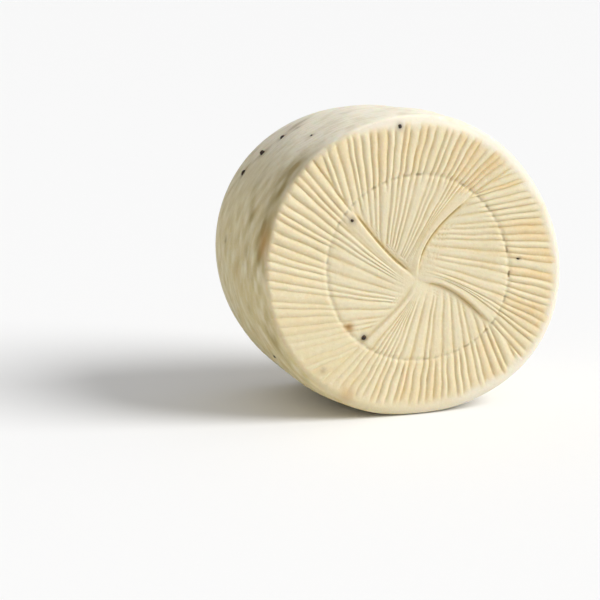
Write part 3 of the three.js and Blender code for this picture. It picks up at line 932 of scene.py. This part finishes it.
# %% [markdown]
# ## Peppercorns
#
# Cracked black pepper is stirred into the curd, so pieces show wherever the skin is cut or
# rubbed. A particle system could scatter them, but they have to lie where the solid model has
# them, so their places are a short list: on a face by x and z in rim radii from the axis, on the
# wall by an angle in degrees and a share of the thickness. The last number is a grain's size.
# Each one's middle lies half a grain's radius below the skin.

# %% Where the peppercorns lie
GRAIN_RADIUS = 2.1 * MM
SUNK = 0.5 * GRAIN_RADIUS
FRONT_GRAINS = [(-0.458, 0.34, 1), (-0.14, 0.914, 0.9), (-0.371, -0.415, 0.9),
                (0.713, 0.034, 0.65), (-0.651, -0.605, 0.7)]
BACK_GRAINS = [(0.32, 0.51, 1), (-0.52, 0.2, 0.8), (0.1, -0.63, 0.9), (0.69, -0.28, 0.7)]
WALL_GRAINS = [(124, 0.57, 1.05), (129.5, 0.63, 1.1), (138, 0.7, 1), (147.5, 0.77, 1.1),
               (172.5, 0.65, 0.8), (125.5, 0.298, 0.7), (109.5, 0.41, 0.7), (58, 0.35, 0.95),
               (21, 0.68, 0.9), (344, 0.41, 1), (214, 0.31, 0.9), (311, 0.71, 0.8)]


def grain_places():
    """Middle and size of each grain, on the two faces and on the wall."""
    places = [((x * RIM_RADIUS, SUNK, z * RIM_RADIUS), size) for x, z, size in FRONT_GRAINS]
    behind = THICKNESS - SUNK
    places += [((-x * RIM_RADIUS, behind, z * RIM_RADIUS), size) for x, z, size in BACK_GRAINS]
    for degrees, share, size in WALL_GRAINS:
        angle, depth = math.radians(degrees), share * THICKNESS
        radius = wall_radius(depth) * outline(angle) - SUNK
        places.append(((radius * math.cos(angle), depth, radius * math.sin(angle)), size))
    centres = stand(np.array([place for place, _ in places]))
    return centres, np.array([size for _, size in places])


grain_centres, grain_sizes = grain_places()
print("peppercorns:", len(grain_sizes))

# %% [markdown]
# ## Smears and blotches
#
# The bare wall of the real cheese is stained. Whey dried in khaki and rusty smears, most of them
# just behind the crisp part of the rim, and pepper oil left dark ones beside the grains on its
# upper left. Between them the wall is mottled, in fine slanted streaks and in larger blotches.
#
# The smears could be noise, but they sit where the cheese lay wet, so each is a bell in the
# angle and the depth. A row of smears gives its angle in degrees, its depth in millimetres, half
# its length in degrees, half its width in millimetres, and its strength. The mottling is a sum
# of slanted sines of the same two. Noise on Object coordinates has no slant, and these marks
# lean like the weave. A whole number of waves round the drum closes them without a seam.

# %% Smears and blotches of the wall
KHAKI_SMEARS = [
    (141, 11, 8, 8, 0.95), (153, 10, 7, 7, 0.6), (162, 10, 5, 7, 0.8), (172, 10, 8, 7, 0.65),
    (160, 33, 3.5, 4.5, 0.6), (150, 44, 5, 6, 0.25), (172, 30, 7, 6, 0.35), (122, 71, 5, 4, 0.45),
    (138, 76, 3, 3, 0.35), (147.6, 84, 4, 3, 0.45), (118, 34, 6, 3, 0.22), (172.4, 72, 2, 2.5, 0.4),
    (30, 50, 8, 4, 0.3), (205, 14, 9, 6, 0.6), (255, 40, 9, 4, 0.35), (330, 22, 7, 3, 0.3)]
RUST_SMEARS = [(168, 6.5, 5, 6, 0.85), (181, 48, 4, 5, 0.25), (70, 96, 5, 3, 0.4)]
DARK_SMEARS = [(123, 71, 3.5, 4, 0.5), (138, 76, 2.5, 4, 0.45), (147.6, 85, 2, 3.5, 0.6)]


def smeared(angle, depth, smears):
    """Strength of the smears at each point: the sum of bells in angle and depth."""
    total = np.zeros_like(angle)
    for degrees, middle, half_length, half_width, strength in smears:
        along = np.degrees(wrap(angle - math.radians(degrees))) / half_length
        total += strength * np.exp(-(along**2) - ((depth / MM - middle) / half_width) ** 2)
    return total


def wall_pattern(angle, depth, turns, length, seed, waves=18):
    """Unevenness that closes round the wall: slanted sines, a whole number of turns round the
    drum and about a length across it, divided by the root of half their number."""
    total = np.zeros_like(angle)
    for wave in range(waves):
        number = np.round(turns * (1 + 0.7 * wobble(wave, seed))) * (-1) ** wave
        across = TURN / (length * (1 + 0.45 * wobble(wave + 20, seed)))
        total += np.sin(number * angle + across * depth + math.pi * wobble(wave + 40, seed))
    return total / math.sqrt(waves / 2)


print("smears:", len(KHAKI_SMEARS), "khaki,", len(RUST_SMEARS), "rusty,", len(DARK_SMEARS), "dark")

# %% [markdown]
# ## The skin's values
#
# A stain of pepper oil spreads a millimetre or two into the curd round each grain: a bell curve
# of the distance to the nearest grain. The lower left side, on the rim and on the wall, is
# darker and yellower: partly a skin that aged where the cheese lay longest, partly painted shade
# on the side that the light hardly reaches. The top of the wall is paler: partly painted light
# from above, partly fresher skin that drained first. The smears are broken up by the mottling,
# as a wiped stain is.
#
# All of this could be mixed in the shader, with a node for each smear. Stored as values on the
# skin's points it is quick to draw and easy to print.

# %% The values and the skin object
STAIN_REACH = 2.6 * MM
WALL_BEGINS = (0.985, 1.0)
# Towards the lower left the skin is painted darker and yellower: partly aged skin, partly painted
# shade.
AGED_SHADE_TOWARDS = math.radians(208)
AGED_SHADE_RANGE = (-0.1, 0.95)
# Where the top of the wall is painted paler, as the sine of the angle: painted light from above, and
# fresher skin.
PALE_LIT_TOP_RANGE = (0.55, 0.95)
STREAKS_ROUND, STREAK_LENGTH = 22, 10 * MM
BLOTCHES_ROUND, BLOTCH_LENGTH = 24, 24 * MM
FAR_AWAY = 1.0

distance = np.full(len(skin_points), FAR_AWAY)
for centre, size in zip(grain_centres, grain_sizes):
    away = np.linalg.norm(skin_points - centre, axis=1) / size
    distance = np.minimum(distance, away)
skin_x, skin_y, skin_z = skin_points[:, 0], skin_points[:, 1], skin_points[:, 2] - AXIS_HEIGHT
skin_angle = np.arctan2(skin_z, skin_x)
on_wall = smoothstep(np.hypot(skin_x, skin_z) / RIM_RADIUS / outline(skin_angle), *WALL_BEGINS)
on_skin = skin_angle, skin_y + THICKNESS / 2
# Aged skin and painted shade: strongest on the lower left side, away from the light.
aged_shade_side = smoothstep(np.cos(skin_angle - AGED_SHADE_TOWARDS), *AGED_SHADE_RANGE)
weathered = on_wall * lerp(0.6, 1, aged_shade_side)

values = dict(zip(("groove", "printed", "warm", "thread_gap", "dash", "rust"), skin_values.T))
values["rust"] = values["rust"] + on_wall * smeared(*on_skin, RUST_SMEARS)
values["aged_and_shade"] = aged_shade_side * lerp(0.65, 1, on_wall)
# Paler on top of the wall: painted light from above, partly fresher skin that drained first.
values["pale_lit_top"] = on_wall * smoothstep(np.sin(skin_angle), *PALE_LIT_TOP_RANGE)
values["streak"] = weathered * wall_pattern(*on_skin, STREAKS_ROUND, STREAK_LENGTH, 31)
values["blotch"] = weathered * wall_pattern(*on_skin, BLOTCHES_ROUND, BLOTCH_LENGTH, 32)
broken = 1 + 0.25 * values["streak"] + 0.15 * values["blotch"]
values["khaki"] = on_wall * broken * smeared(*on_skin, KHAKI_SMEARS)
dark = on_wall * smeared(*on_skin, DARK_SMEARS)
values["stain"] = np.maximum(np.exp(-((distance / STAIN_REACH) ** 2)), dark)

skin = build_mesh("cheese_skin", skin_points, skin_polygons, values)
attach(skin, "root")
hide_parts(NODE)
print("skin box:", [tuple(round(v / MM, 1) for v in corner) for corner in skin.bound_box][::6])


# %% [markdown]
# ## The shape of a peppercorn
#
# A cracked peppercorn is a wrinkled, lopsided lump. It starts as an icosahedron whose triangles
# are split in four and pushed out onto a ball. A ball of rings and segments would do, but its
# poles show as stars once it is made rough, and here all faces have about the same size.

# %% An even ball and a turn
def icosphere(splits):
    """Points and triangles of a unit icosahedron whose triangles are split in four."""
    golden = (1 + math.sqrt(5)) / 2
    corners = []
    for a in (-1, 1):
        for b in (-golden, golden):
            corners += [(0, a, b), (a, b, 0), (b, 0, a)]
    points = np.array(corners, dtype=float)
    points /= np.linalg.norm(points, axis=1, keepdims=True)
    gap = np.linalg.norm(points[:, None] - points[None], axis=2)
    near = np.abs(gap - np.unique(gap.round(6))[1]) < 1e-3
    trios = [(i, j, k) for i in range(12) for j in range(i + 1, 12) for k in range(j + 1, 12)
             if near[i, j] and near[j, k] and near[i, k]]
    faces = np.array(trios)
    volume = np.einsum("ij,ij->i", points[faces[:, 0]],
                       np.cross(points[faces[:, 1]], points[faces[:, 2]]))
    faces[volume < 0] = faces[volume < 0][:, ::-1]
    for _ in range(splits):
        pairs = np.sort(np.concatenate([faces[:, [0, 1]], faces[:, [1, 2]], faces[:, [2, 0]]]), 1)
        edges, index = np.unique(pairs, axis=0, return_inverse=True)
        middle = points[edges].mean(1)
        middle /= np.linalg.norm(middle, axis=1, keepdims=True)
        m01, m12, m20 = index.reshape(3, -1) + len(points)
        a, b, c = faces.T
        points = np.concatenate([points, middle])
        faces = np.concatenate([np.stack(part, 1) for part in
                                ((a, m01, m20), (b, m12, m01), (c, m20, m12), (m01, m12, m20))])
    return points, faces


def turned(points, rx, ry, rz):
    """Points turned about X, then Y, then Z."""
    cx, sx, cy, sy, cz, sz = (f(v) for v in (rx, ry, rz) for f in (math.cos, math.sin))
    about_x = np.array([[1, 0, 0], [0, cx, -sx], [0, sx, cx]])
    about_y = np.array([[cy, 0, sy], [0, 1, 0], [-sy, 0, cy]])
    about_z = np.array([[cz, -sz, 0], [sz, cz, 0], [0, 0, 1]])
    return points @ (about_z @ about_y @ about_x).T


SPLITS = 2
ball, ball_faces = icosphere(SPLITS)
print("a ball has", len(ball), "points and", len(ball_faces), "triangles")

# %% [markdown]
# ## All grains in one mesh
#
# Each ball is dented, roughened, squashed by its own amount and turned its own way. Copies of
# one mesh would be lighter, but cracked pepper has no two pieces alike, and at a few hundred
# faces each they all fit in one piece.

# %% Grains as one mesh
DENTS, ROUGHNESS = 0.09, 0.035
GRAIN_FIT = 0.94

grain_points, grain_faces = [], []
for index, (centre, size) in enumerate(zip(grain_centres, grain_sizes)):
    rough = 1 + DENTS * ripple(ball[:, 0] * 0.7 + ball[:, 2] * 0.4, ball[:, 1] * 0.7, index + 50)
    rough = rough + ROUGHNESS * wobble(np.arange(len(ball)), index + 90)
    lump = ball * rough[:, None] * GRAIN_RADIUS * size * GRAIN_FIT
    lump = lump * [1 + 0.2 * wobble(index, 3), 0.85, 0.8 + 0.15 * wobble(index, 4)]
    lump = turned(lump, *(math.pi * wobble(index, seed) for seed in (5, 6, 7)))
    grain_faces.append(ball_faces + index * len(ball))
    grain_points.append(lump + centre)
grains = build_mesh("pepper_grains", np.concatenate(grain_points),
                    np.concatenate(grain_faces).tolist(), {})
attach(grains, "root")
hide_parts(NODE)
print("grain triangles:", len(grains.data.polygons))


# %% [markdown]
# ## Materials
#
# A material is a tree of nodes. It could be clicked together in the shader editor, but in code
# each number can be read and explained. Colours are read off as sRGB and turned to linear light
# by one function, and one function adds a node. Every pattern below is in real millimetres on
# Object coordinates.

# %% Colour and node helpers
def linear(hex_code):
    """sRGB hex to linear RGBA: each channel through the standard curve."""
    channels = [int(hex_code[i:i + 2], 16) / 255 for i in (1, 3, 5)]
    return [c / 12.92 if c <= 0.04045 else ((c + 0.055) / 1.055) ** 2.4 for c in channels] + [1.0]


def add(tree, kind, settings=None, inputs=None):
    """A node with its settings; an input is a value or another node's output socket."""
    node = tree.nodes.new(kind)
    for key, value in (settings or {}).items():
        setattr(node, key, value)
    for key, value in (inputs or {}).items():
        if isinstance(value, bpy.types.NodeSocket):
            tree.links.new(value, node.inputs[key])
        else:
            node.inputs[key].default_value = value
    return node


def new_material(name):
    """An empty node material with its output node."""
    material = bpy.data.materials.new(name)
    material.use_nodes = True
    tree = material.node_tree
    tree.nodes.clear()
    return material, tree, tree.nodes.new("ShaderNodeOutputMaterial")


print("middle grey in linear light:", round(linear("#808080")[0], 3))

# %% [markdown]
# ### Moist curd
#
# Fresh cheese is a wet white gel of curd grains that have grown together. The bare skin is
# palest, and the top of the wall is painted paler still, partly as light from above. The printed
# faces are creamier, whey has dried to a straw yellow in the grooves, and some ridges ripened to
# a warm tan towards the rim.
#
# A photograph could be laid over the skin, but it would hold one cheese in one light. Here the
# colour is a pile of thin glazes, as a painter would lay them. This cell makes what the glazes
# follow: the values stored on the points, and noises with cells of a real size, from clouds a
# thumb wide down to the grit of the curd.

# %% Fresh cheese: where each glaze comes from
STORED = ("groove", "printed", "warm", "thread_gap", "dash", "rust", "khaki", "aged_and_shade", "pale_lit_top",
          "streak", "blotch", "stain")
# A noise: its cell in millimetres, its detail and its roughness.
NOISES = {"clouds": (22, 4, 0.5), "patches": (9, 3, 0.5), "lumps": (3.6, 3, 0.5),
          "specks": (3.2, 5, 0.65), "curds": (1.6, 3, 0.5), "grit": (0.9, 4, 0.6)}
PATCHES_FROM, PATCHES_TO = 0.3, 0.7
THREAD_OUTER, THREAD_INNER = 1.1, 0.3

curd, tree, out = new_material("fresh_primo_sale_curd")
place = add(tree, "ShaderNodeTexCoord").outputs["Object"]
source = {}
for name in STORED:
    source[name] = add(tree, "ShaderNodeAttribute", {"attribute_name": name}).outputs["Fac"]
for name, (cell, detail, rough) in NOISES.items():
    source[name] = add(tree, "ShaderNodeTexNoise", None, {
        "Vector": place, "Scale": 1 / (cell * MM), "Detail": detail, "Roughness": rough,
    }).outputs["Fac"]
part = add(tree, "ShaderNodeMapRange", None, {
    "Value": source["patches"], "From Min": PATCHES_FROM, "From Max": PATCHES_TO, "To Min": 0.5,
}).outputs["Result"]
source["whey"] = add(tree, "ShaderNodeMath", {"operation": "MULTIPLY"}, {
    0: source["groove"], 1: part,
}).outputs[0]
source["ripe"] = add(tree, "ShaderNodeMath", {"operation": "MULTIPLY"}, {
    0: source["warm"], 1: part,
}).outputs[0]
beside = add(tree, "ShaderNodeMath", {"operation": "ABSOLUTE"}, {0: source["thread_gap"]})
line = add(tree, "ShaderNodeMapRange", None, {
    "Value": beside.outputs[0], "From Min": THREAD_OUTER, "From Max": THREAD_INNER,
}).outputs["Result"]
source["stitch"] = add(tree, "ShaderNodeMath", {"operation": "MULTIPLY"}, {
    0: line, 1: source["dash"],
}).outputs[0]
print("sources for the glazes:", len(source))

# %% [markdown]
# ### The glazes and the surface
#
# A glaze has a source, the value of the source at which it begins and the one at which it is
# full, how much of it there is at most, and its colour. The source of a pair such as "streak"
# runs both ways from 0, so one glaze darkens and the other lightens.
#
# Light goes a few millimetres into fresh cheese and comes out warmer, so edges glow and small
# shadows are soft. A warm colour alone would leave the shadows grey. So the surface scatters
# light below itself, with a radius that leans to red. It is matt with a faint wet sheen,
# roughness 0.5 to 0.7, and water and milk fat give it an IOR of 1.4.

# %% Fresh cheese: glazes and surface
SKIN_PALE = "#DED7C5"
GLAZES = [
    # Aged skin and painted shade on the lower left side.
    ("aged_and_shade", 0, 1, 0.95, "#D0C08C"),
    # A painted highlight on top of the wall, partly fresher skin.
    ("pale_lit_top", 0, 1, 0.8, "#F8F1DD"),
    ("streak", 0.1, 2, 0.28, "#AD995F"),
    ("streak", -0.1, -2, 0.34, "#E9E2C8"),
    ("blotch", 0.2, 2.2, 0.34, "#AB975C"),
    ("blotch", -0.2, -2.2, 0.38, "#E8E0C4"),
    ("printed", 0, 1, 1, "#DACFAF"),
    ("thread_gap", 3, -6, 0.6, "#D8CFB3"),
    ("whey", 0.08, 1, 0.7, "#CBB06E"),
    ("ripe", 0, 0.9, 0.5, "#D8B26F"),
    # This glaze darkens the deepest grooves, and most of all the foot of each fold's step: painted
    # shade there, together with dried whey.
    ("groove", 0.95, 1.3, 0.8, "#978049"),
    ("stitch", 0, 1, 0.9, "#7A663C"),
    ("clouds", 0.5, 0.75, 0.16, "#B9A26A"),
    ("specks", 0.56, 0.72, 0.16, "#8A7346"),
    ("curds", 0.52, 0.68, 0.14, "#F2EBDA"),
    ("khaki", 0, 1, 0.8, "#8F7A3C"),
    ("rust", 0, 1, 0.8, "#B07F2E"),
    ("stain", 0, 1, 0.7, "#6C5430"),
]
ROUGH_WET, ROUGH_DRY = 0.5, 0.7
SCATTER_DEPTH = 3 * MM
SCATTER_COLOUR = (1.0, 0.62, 0.34)
GRIT_HEIGHT, LUMP_HEIGHT = 0.25 * MM, 0.8 * MM

colour = linear(SKIN_PALE)
for name, low, high, most, tint in GLAZES:
    share = add(tree, "ShaderNodeMapRange", None, {
        "Value": source[name], "From Min": low, "From Max": high, "To Max": most,
    }).outputs["Result"]
    colour = add(tree, "ShaderNodeMix", {"data_type": "RGBA"}, {
        0: share, 6: colour, 7: linear(tint),
    }).outputs[2]
gloss = add(tree, "ShaderNodeMapRange", None, {
    "Value": source["patches"], "From Min": PATCHES_FROM, "From Max": PATCHES_TO,
    "To Min": ROUGH_WET, "To Max": ROUGH_DRY,
}).outputs["Result"]
grit = add(tree, "ShaderNodeBump", None, {
    "Height": source["grit"], "Distance": GRIT_HEIGHT, "Strength": 0.35,
})
lumps = add(tree, "ShaderNodeBump", None, {
    "Height": source["lumps"], "Distance": LUMP_HEIGHT, "Strength": 0.4, "Normal": grit.outputs[0],
})
surface = add(tree, "ShaderNodeBsdfPrincipled", {"subsurface_method": "RANDOM_WALK"}, {
    "Base Color": colour, "Roughness": gloss, "IOR": 1.4, "Subsurface Weight": 0.8,
    "Subsurface Radius": SCATTER_COLOUR, "Subsurface Scale": SCATTER_DEPTH, "Coat Weight": 0.06,
    "Coat Roughness": 0.4, "Normal": lumps.outputs[0],
})
tree.links.new(surface.outputs[0], out.inputs["Surface"])
skin.data.materials.append(curd)
print("cheese material:", len(tree.nodes), "nodes")

# %% [markdown]
# ### Black pepper
#
# The dried skin of a peppercorn is almost black and wrinkled, and where it is cracked the brown
# inside shows. It is dull, with a dot of shine from the wet curd. One flat black would do for
# dots this small, but close up they would look like holes. A noise with cells of a millimetre
# mixes the two browns, and a finer one wrinkles the skin.

# %% Black pepper material
CRACK_CELL, WRINKLE_CELL = 1.1 * MM, 0.5 * MM
WRINKLE_HEIGHT = 0.3 * MM
HUSK_BLACK, KERNEL_BROWN = "#1E1710", "#54391F"

pepper, tree, out = new_material("cracked_black_pepper")
place = add(tree, "ShaderNodeTexCoord").outputs["Object"]
cracks = add(tree, "ShaderNodeTexNoise", None, {
    "Vector": place, "Scale": 1 / CRACK_CELL, "Detail": 3,
}).outputs["Fac"]
share = add(tree, "ShaderNodeMapRange", None, {
    "Value": cracks, "From Min": 0.45, "From Max": 0.65,
}).outputs["Result"]
husk = add(tree, "ShaderNodeMix", {"data_type": "RGBA"}, {
    0: share, 6: linear(HUSK_BLACK), 7: linear(KERNEL_BROWN),
}).outputs[2]
fine = add(tree, "ShaderNodeTexNoise", None, {
    "Vector": place, "Scale": 1 / WRINKLE_CELL, "Detail": 4, "Roughness": 0.7,
}).outputs["Fac"]
wrinkles = add(tree, "ShaderNodeBump", None, {
    "Height": fine, "Distance": WRINKLE_HEIGHT, "Strength": 0.8,
})
surface = add(tree, "ShaderNodeBsdfPrincipled", None, {
    "Base Color": husk, "Roughness": 0.6, "IOR": 1.45, "Normal": wrinkles.outputs[0],
})
tree.links.new(surface.outputs[0], out.inputs["Surface"])
grains.data.materials.append(pepper)
print("pepper material:", len(tree.nodes), "nodes")

# %% [markdown]
# ## The floor
#
# The cheese stands on a studio floor in matt white paint, which gives the eye a soft shadow and
# no reflection. A curved backdrop would hide the horizon, but it has a front and a back, and
# this object is looked at from all sides. So the floor is one square, a kilometre wide, that
# looks endless from any of them.

# %% Floor
FLOOR_HALF = 500
PAINT_WHITE = "#F4F4F4"

floor_mesh = bpy.data.meshes.new("studio_floor")
floor_mesh.from_pydata([(-FLOOR_HALF, -FLOOR_HALF, 0), (FLOOR_HALF, -FLOOR_HALF, 0),
                        (FLOOR_HALF, FLOOR_HALF, 0), (-FLOOR_HALF, FLOOR_HALF, 0)],
                       [], [(0, 1, 2, 3)])
floor = bpy.data.objects.new("studio_floor", floor_mesh)
bpy.context.scene.collection.objects.link(floor)
paint, tree, out = new_material("matt_white_floor_paint")
surface = add(tree, "ShaderNodeBsdfPrincipled", None, {
    "Base Color": linear(PAINT_WHITE), "Roughness": 0.8, "Specular IOR Level": 0.2,
})
tree.links.new(surface.outputs[0], out.inputs["Surface"])
floor.data.materials.append(paint)
print("floor:", 2 * FLOOR_HALF, "metres square")

# %% [markdown]
# ## The light
#
# One large soft light stands in front on the right, and an even white sky fills the shadows, as
# in a studio with white walls. An area lamp would fall off with distance and light one side of
# the floor more than the other. A sun doesn't, and its spread of 35 degrees makes its shadows as
# soft as a large lamp's.

# %% Light
SKY_WHITE = "#FFFFFF"
SKY_STRENGTH = 0.5
SUN_STRENGTH = 3.0
SUN_FROM = Vector((0.8, -0.6, 0.75))
SUN_SPREAD = math.radians(35)

world = bpy.data.worlds.new("studio_sky")
world.use_nodes = True
sky = world.node_tree.nodes["Background"]
sky.inputs["Color"].default_value = linear(SKY_WHITE)
sky.inputs["Strength"].default_value = SKY_STRENGTH
bpy.context.scene.world = world
lamp = bpy.data.lights.new("soft_sun", "SUN")
lamp.energy = SUN_STRENGTH
lamp.angle = SUN_SPREAD
sun = bpy.data.objects.new("soft_sun", lamp)
sun.rotation_euler = SUN_FROM.to_track_quat("Z", "Y").to_euler()
bpy.context.scene.collection.objects.link(sun)
print("sun", round(math.degrees(math.asin(SUN_FROM.normalized().z))), "degrees above the floor")

# %% [markdown]
# ## The camera
#
# The camera stands where the photographer's stood, so that the render can be laid beside the
# photograph. It could be moved by hand until the picture fits. Instead its place was worked out
# from the outline of the wheel: where the lens is against the middle of the front face, in rim
# radii, how far down it looks, in radians, and its focal length for a frame 36 mm wide.

# %% Camera
CAMERA_AT = Vector((-4.134 * RIM_RADIUS, -9.197 * RIM_RADIUS - THICKNESS / 2,
                    1.7014 * RIM_RADIUS + AXIS_HEIGHT))
LOOK_ALONG = (0.3404, 0.9403)
LOOK_DOWN = 0.18642
FOCAL_LENGTH = 95.96
FRAME_WIDTH = 36
SEES_UP_TO = 2000

view = Vector((LOOK_ALONG[0] * math.cos(LOOK_DOWN), LOOK_ALONG[1] * math.cos(LOOK_DOWN),
               -math.sin(LOOK_DOWN)))
lens = bpy.data.cameras.new("photo_camera")
lens.sensor_width = FRAME_WIDTH
lens.lens = FOCAL_LENGTH
lens.clip_end = SEES_UP_TO
camera = bpy.data.objects.new("photo_camera", lens)
camera.location = CAMERA_AT
camera.rotation_euler = view.to_track_quat("-Z", "Y").to_euler()
bpy.context.scene.collection.objects.link(camera)
bpy.context.scene.camera = camera
bpy.context.scene.view_settings.view_transform = "Standard"
print("the camera is", round(CAMERA_AT.length, 2), "m from the origin")
